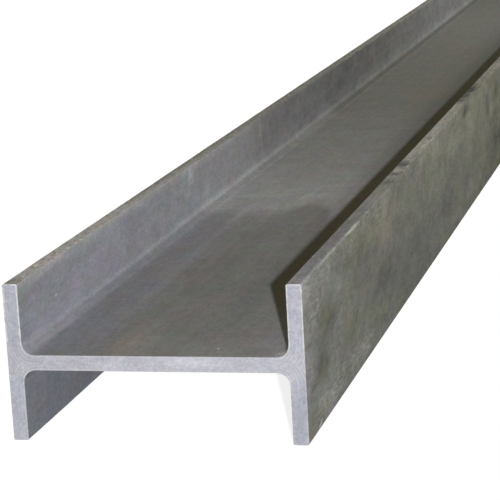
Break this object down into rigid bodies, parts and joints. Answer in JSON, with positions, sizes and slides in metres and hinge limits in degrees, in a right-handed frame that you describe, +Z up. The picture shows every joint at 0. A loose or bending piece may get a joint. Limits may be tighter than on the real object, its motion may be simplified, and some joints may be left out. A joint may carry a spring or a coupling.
{
  "type": "steel h-beam",
  "caption": "Rolled steel H-beam section with filleted roots, parallel flanges and saw-cut ends, lying on its flange toes with the web level.",
  "frame": {"origin": "on the floor under the middle of the beam, at the centre of the bounding box's lowest face", "axes": "+X across the section from one flange to the other, +Y along the beam's length, +Z up, along the flange width"},
  "size_m": [0.31, 6, 0.165],
  "materials": {
    "steel": "dull grey mill finish, with bright saw-cut ends"
  },
  "bodies": {
    "root": {"h_beam": "steel"}
  },
  "joints": []
}
